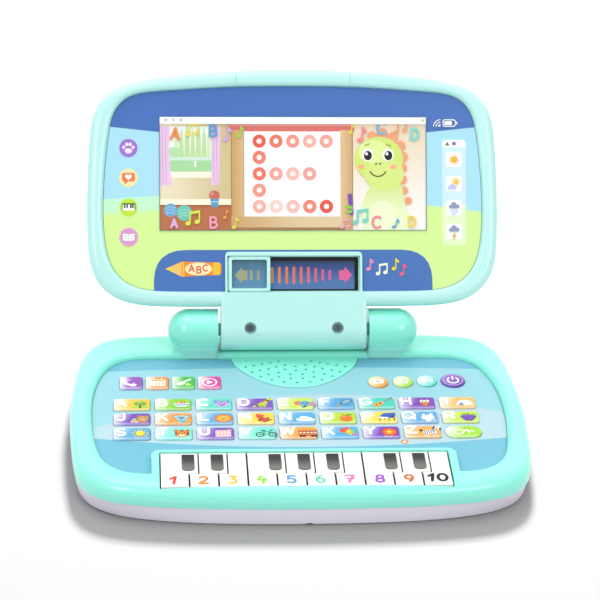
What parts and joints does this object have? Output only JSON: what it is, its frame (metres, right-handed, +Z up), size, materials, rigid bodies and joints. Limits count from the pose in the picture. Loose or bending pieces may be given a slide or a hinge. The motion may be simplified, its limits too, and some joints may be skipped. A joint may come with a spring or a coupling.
{
  "type": "toy laptop computer",
  "caption": "Children's folding toy laptop with a hinged lid, printed display window, sliding picture frame, press pads, function buttons and a small piano keyboard.",
  "frame": {"origin": "centre of the footprint of the base, on the table", "axes": "+X to the user's right, +Y to the back where the hinge is, +Z up; the lid is open at rest, leaning back 30 degrees from upright"},
  "size_m": [0.2746, 0.2405, 0.1817],
  "materials": {
    "mint_shell": "moulded, semi-gloss",
    "pale_mint_shell": "moulded, gloss",
    "lilac_shell": "fine moulded texture",
    "printed_sheet": "printed film, satin",
    "silicone": "soft, matt",
    "circuit": "coated board",
    "speaker_black": "matt",
    "screw_steel": "zinc plated",
    "printed_window": "clear glossy window printed from behind",
    "pad_print": "printed and lacquered",
    "key_white": "moulded, semi-gloss"
  },
  "bodies": {
    "base": {"base_top_shell": "mint_shell", "base_bottom_shell": "lilac_shell", "battery_door": "lilac_shell", "keypad_sheet": "printed_sheet", "contact_mat": "silicone", "main_board": "circuit", "speaker": "speaker_black", "case_screws": "screw_steel", "key_rod": "screw_steel"},
    "lid": {"lid_front_shell": "pale_mint_shell", "lid_back_shell": "pale_mint_shell", "display_window": "printed_window", "light_board": "circuit", "lid_screws": "screw_steel"},
    "slider": {"picture_slider": "pale_mint_shell"},
    "pad_letter_a_body": {"pad_letter_a": "pad_print"},
    "pad_letter_b_body": {"pad_letter_b": "pad_print"},
    "pad_letter_c_body": {"pad_letter_c": "pad_print"},
    "pad_letter_d_body": {"pad_letter_d": "pad_print"},
    "pad_letter_e_body": {"pad_letter_e": "pad_print"},
    "pad_letter_f_body": {"pad_letter_f": "pad_print"},
    "pad_letter_g_body": {"pad_letter_g": "pad_print"},
    "pad_letter_h_body": {"pad_letter_h": "pad_print"},
    "pad_letter_i_body": {"pad_letter_i": "pad_print"},
    "pad_letter_j_body": {"pad_letter_j": "pad_print"},
    "pad_letter_k_body": {"pad_letter_k": "pad_print"},
    "pad_letter_l_body": {"pad_letter_l": "pad_print"},
    "pad_letter_m_body": {"pad_letter_m": "pad_print"},
    "pad_letter_n_body": {"pad_letter_n": "pad_print"},
    "pad_letter_o_body": {"pad_letter_o": "pad_print"},
    "pad_letter_p_body": {"pad_letter_p": "pad_print"},
    "pad_letter_q_body": {"pad_letter_q": "pad_print"},
    "pad_letter_r_body": {"pad_letter_r": "pad_print"},
    "pad_letter_s_body": {"pad_letter_s": "pad_print"},
    "pad_letter_t_body": {"pad_letter_t": "pad_print"},
    "pad_letter_u_body": {"pad_letter_u": "pad_print"},
    "pad_letter_v_body": {"pad_letter_v": "pad_print"},
    "pad_letter_w_body": {"pad_letter_w": "pad_print"},
    "pad_letter_x_body": {"pad_letter_x": "pad_print"},
    "pad_letter_y_body": {"pad_letter_y": "pad_print"},
    "pad_letter_z_body": {"pad_letter_z": "pad_print"},
    "pad_oval_body": {"pad_oval": "pad_print"},
    "pad_mode_phone_body": {"pad_mode_phone": "pad_print"},
    "pad_mode_calendar_body": {"pad_mode_calendar": "pad_print"},
    "pad_mode_paint_body": {"pad_mode_paint": "pad_print"},
    "pad_mode_play_body": {"pad_mode_play": "pad_print"},
    "button_story_body": {"button_story": "pad_print"},
    "button_music_body": {"button_music": "pad_print"},
    "button_volume_body": {"button_volume": "pad_print"},
    "button_power_body": {"button_power": "pad_print"},
    "piano_key_01_body": {"piano_key_01": "key_white"},
    "piano_key_02_body": {"piano_key_02": "key_white"},
    "piano_key_03_body": {"piano_key_03": "key_white"},
    "piano_key_04_body": {"piano_key_04": "key_white"},
    "piano_key_05_body": {"piano_key_05": "key_white"},
    "piano_key_06_body": {"piano_key_06": "key_white"},
    "piano_key_07_body": {"piano_key_07": "key_white"},
    "piano_key_08_body": {"piano_key_08": "key_white"},
    "piano_key_09_body": {"piano_key_09": "key_white"},
    "piano_key_10_body": {"piano_key_10": "key_white"}
  },
  "joints": [
    {"name": "lid_hinge", "type": "hinge", "parent": "base", "child": "lid", "pos_m": [0, 0.06915, 0.038], "axis": [1, 0, 0], "range_deg": [-5, 120]},
    {"name": "slider_slide", "type": "slide", "parent": "lid", "child": "slider", "axis": [1, 0, 0], "range_m": [0, 0.055]},
    {"name": "pad_letter_a_press", "type": "slide", "parent": "base", "child": "pad_letter_a_body", "axis": [0, 0, -1], "range_m": [0, 0.0008], "stiffness_N_per_m": 300},
    {"name": "pad_letter_b_press", "type": "slide", "parent": "base", "child": "pad_letter_b_body", "axis": [0, 0, -1], "range_m": [0, 0.0008], "stiffness_N_per_m": 300},
    {"name": "pad_letter_c_press", "type": "slide", "parent": "base", "child": "pad_letter_c_body", "axis": [0, 0, -1], "range_m": [0, 0.0008], "stiffness_N_per_m": 300},
    {"name": "pad_letter_d_press", "type": "slide", "parent": "base", "child": "pad_letter_d_body", "axis": [0, 0, -1], "range_m": [0, 0.0008], "stiffness_N_per_m": 300},
    {"name": "pad_letter_e_press", "type": "slide", "parent": "base", "child": "pad_letter_e_body", "axis": [0, 0, -1], "range_m": [0, 0.0008], "stiffness_N_per_m": 300},
    {"name": "pad_letter_f_press", "type": "slide", "parent": "base", "child": "pad_letter_f_body", "axis": [0, 0, -1], "range_m": [0, 0.0008], "stiffness_N_per_m": 300},
    {"name": "pad_letter_g_press", "type": "slide", "parent": "base", "child": "pad_letter_g_body", "axis": [0, 0, -1], "range_m": [0, 0.0008], "stiffness_N_per_m": 300},
    {"name": "pad_letter_h_press", "type": "slide", "parent": "base", "child": "pad_letter_h_body", "axis": [0, 0, -1], "range_m": [0, 0.0008], "stiffness_N_per_m": 300},
    {"name": "pad_letter_i_press", "type": "slide", "parent": "base", "child": "pad_letter_i_body", "axis": [0, 0, -1], "range_m": [0, 0.0008], "stiffness_N_per_m": 300},
    {"name": "pad_letter_j_press", "type": "slide", "parent": "base", "child": "pad_letter_j_body", "axis": [0, 0, -1], "range_m": [0, 0.0008], "stiffness_N_per_m": 300},
    {"name": "pad_letter_k_press", "type": "slide", "parent": "base", "child": "pad_letter_k_body", "axis": [0, 0, -1], "range_m": [0, 0.0008], "stiffness_N_per_m": 300},
    {"name": "pad_letter_l_press", "type": "slide", "parent": "base", "child": "pad_letter_l_body", "axis": [0, 0, -1], "range_m": [0, 0.0008], "stiffness_N_per_m": 300},
    {"name": "pad_letter_m_press", "type": "slide", "parent": "base", "child": "pad_letter_m_body", "axis": [0, 0, -1], "range_m": [0, 0.0008], "stiffness_N_per_m": 300},
    {"name": "pad_letter_n_press", "type": "slide", "parent": "base", "child": "pad_letter_n_body", "axis": [0, 0, -1], "range_m": [0, 0.0008], "stiffness_N_per_m": 300},
    {"name": "pad_letter_o_press", "type": "slide", "parent": "base", "child": "pad_letter_o_body", "axis": [0, 0, -1], "range_m": [0, 0.0008], "stiffness_N_per_m": 300},
    {"name": "pad_letter_p_press", "type": "slide", "parent": "base", "child": "pad_letter_p_body", "axis": [0, 0, -1], "range_m": [0, 0.0008], "stiffness_N_per_m": 300},
    {"name": "pad_letter_q_press", "type": "slide", "parent": "base", "child": "pad_letter_q_body", "axis": [0, 0, -1], "range_m": [0, 0.0008], "stiffness_N_per_m": 300},
    {"name": "pad_letter_r_press", "type": "slide", "parent": "base", "child": "pad_letter_r_body", "axis": [0, 0, -1], "range_m": [0, 0.0008], "stiffness_N_per_m": 300},
    {"name": "pad_letter_s_press", "type": "slide", "parent": "base", "child": "pad_letter_s_body", "axis": [0, 0, -1], "range_m": [0, 0.0008], "stiffness_N_per_m": 300},
    {"name": "pad_letter_t_press", "type": "slide", "parent": "base", "child": "pad_letter_t_body", "axis": [0, 0, -1], "range_m": [0, 0.0008], "stiffness_N_per_m": 300},
    {"name": "pad_letter_u_press", "type": "slide", "parent": "base", "child": "pad_letter_u_body", "axis": [0, 0, -1], "range_m": [0, 0.0008], "stiffness_N_per_m": 300},
    {"name": "pad_letter_v_press", "type": "slide", "parent": "base", "child": "pad_letter_v_body", "axis": [0, 0, -1], "range_m": [0, 0.0008], "stiffness_N_per_m": 300},
    {"name": "pad_letter_w_press", "type": "slide", "parent": "base", "child": "pad_letter_w_body", "axis": [0, 0, -1], "range_m": [0, 0.0008], "stiffness_N_per_m": 300},
    {"name": "pad_letter_x_press", "type": "slide", "parent": "base", "child": "pad_letter_x_body", "axis": [0, 0, -1], "range_m": [0, 0.0008], "stiffness_N_per_m": 300},
    {"name": "pad_letter_y_press", "type": "slide", "parent": "base", "child": "pad_letter_y_body", "axis": [0, 0, -1], "range_m": [0, 0.0008], "stiffness_N_per_m": 300},
    {"name": "pad_letter_z_press", "type": "slide", "parent": "base", "child": "pad_letter_z_body", "axis": [0, 0, -1], "range_m": [0, 0.0008], "stiffness_N_per_m": 300},
    {"name": "pad_oval_press", "type": "slide", "parent": "base", "child": "pad_oval_body", "axis": [0, 0, -1], "range_m": [0, 0.0008], "stiffness_N_per_m": 300},
    {"name": "pad_mode_phone_press", "type": "slide", "parent": "base", "child": "pad_mode_phone_body", "axis": [0, 0, -1], "range_m": [0, 0.0008], "stiffness_N_per_m": 300},
    {"name": "pad_mode_calendar_press", "type": "slide", "parent": "base", "child": "pad_mode_calendar_body", "axis": [0, 0, -1], "range_m": [0, 0.0008], "stiffness_N_per_m": 300},
    {"name": "pad_mode_paint_press", "type": "slide", "parent": "base", "child": "pad_mode_paint_body", "axis": [0, 0, -1], "range_m": [0, 0.0008], "stiffness_N_per_m": 300},
    {"name": "pad_mode_play_press", "type": "slide", "parent": "base", "child": "pad_mode_play_body", "axis": [0, 0, -1], "range_m": [0, 0.0008], "stiffness_N_per_m": 300},
    {"name": "button_story_press", "type": "slide", "parent": "base", "child": "button_story_body", "axis": [0, 0, -1], "range_m": [0, 0.0008], "stiffness_N_per_m": 300},
    {"name": "button_music_press", "type": "slide", "parent": "base", "child": "button_music_body", "axis": [0, 0, -1], "range_m": [0, 0.0008], "stiffness_N_per_m": 300},
    {"name": "button_volume_press", "type": "slide", "parent": "base", "child": "button_volume_body", "axis": [0, 0, -1], "range_m": [0, 0.0008], "stiffness_N_per_m": 300},
    {"name": "button_power_press", "type": "slide", "parent": "base", "child": "button_power_body", "axis": [0, 0, -1], "range_m": [0, 0.0008], "stiffness_N_per_m": 300},
    {"name": "piano_key_01_press", "type": "hinge", "parent": "base", "child": "piano_key_01_body", "pos_m": [0, -0.0436, 0.0166], "axis": [1, 0, 0], "range_deg": [0, 3], "stiffness_Nm_per_rad": 0.15},
    {"name": "piano_key_02_press", "type": "hinge", "parent": "base", "child": "piano_key_02_body", "pos_m": [0, -0.0436, 0.0166], "axis": [1, 0, 0], "range_deg": [0, 3], "stiffness_Nm_per_rad": 0.15},
    {"name": "piano_key_03_press", "type": "hinge", "parent": "base", "child": "piano_key_03_body", "pos_m": [0, -0.0436, 0.0166], "axis": [1, 0, 0], "range_deg": [0, 3], "stiffness_Nm_per_rad": 0.15},
    {"name": "piano_key_04_press", "type": "hinge", "parent": "base", "child": "piano_key_04_body", "pos_m": [0, -0.0436, 0.0166], "axis": [1, 0, 0], "range_deg": [0, 3], "stiffness_Nm_per_rad": 0.15},
    {"name": "piano_key_05_press", "type": "hinge", "parent": "base", "child": "piano_key_05_body", "pos_m": [0, -0.0436, 0.0166], "axis": [1, 0, 0], "range_deg": [0, 3], "stiffness_Nm_per_rad": 0.15},
    {"name": "piano_key_06_press", "type": "hinge", "parent": "base", "child": "piano_key_06_body", "pos_m": [0, -0.0436, 0.0166], "axis": [1, 0, 0], "range_deg": [0, 3], "stiffness_Nm_per_rad": 0.15},
    {"name": "piano_key_07_press", "type": "hinge", "parent": "base", "child": "piano_key_07_body", "pos_m": [0, -0.0436, 0.0166], "axis": [1, 0, 0], "range_deg": [0, 3], "stiffness_Nm_per_rad": 0.15},
    {"name": "piano_key_08_press", "type": "hinge", "parent": "base", "child": "piano_key_08_body", "pos_m": [0, -0.0436, 0.0166], "axis": [1, 0, 0], "range_deg": [0, 3], "stiffness_Nm_per_rad": 0.15},
    {"name": "piano_key_09_press", "type": "hinge", "parent": "base", "child": "piano_key_09_body", "pos_m": [0, -0.0436, 0.0166], "axis": [1, 0, 0], "range_deg": [0, 3], "stiffness_Nm_per_rad": 0.15},
    {"name": "piano_key_10_press", "type": "hinge", "parent": "base", "child": "piano_key_10_body", "pos_m": [0, -0.0436, 0.0166], "axis": [1, 0, 0], "range_deg": [0, 3], "stiffness_Nm_per_rad": 0.15}
  ]
}
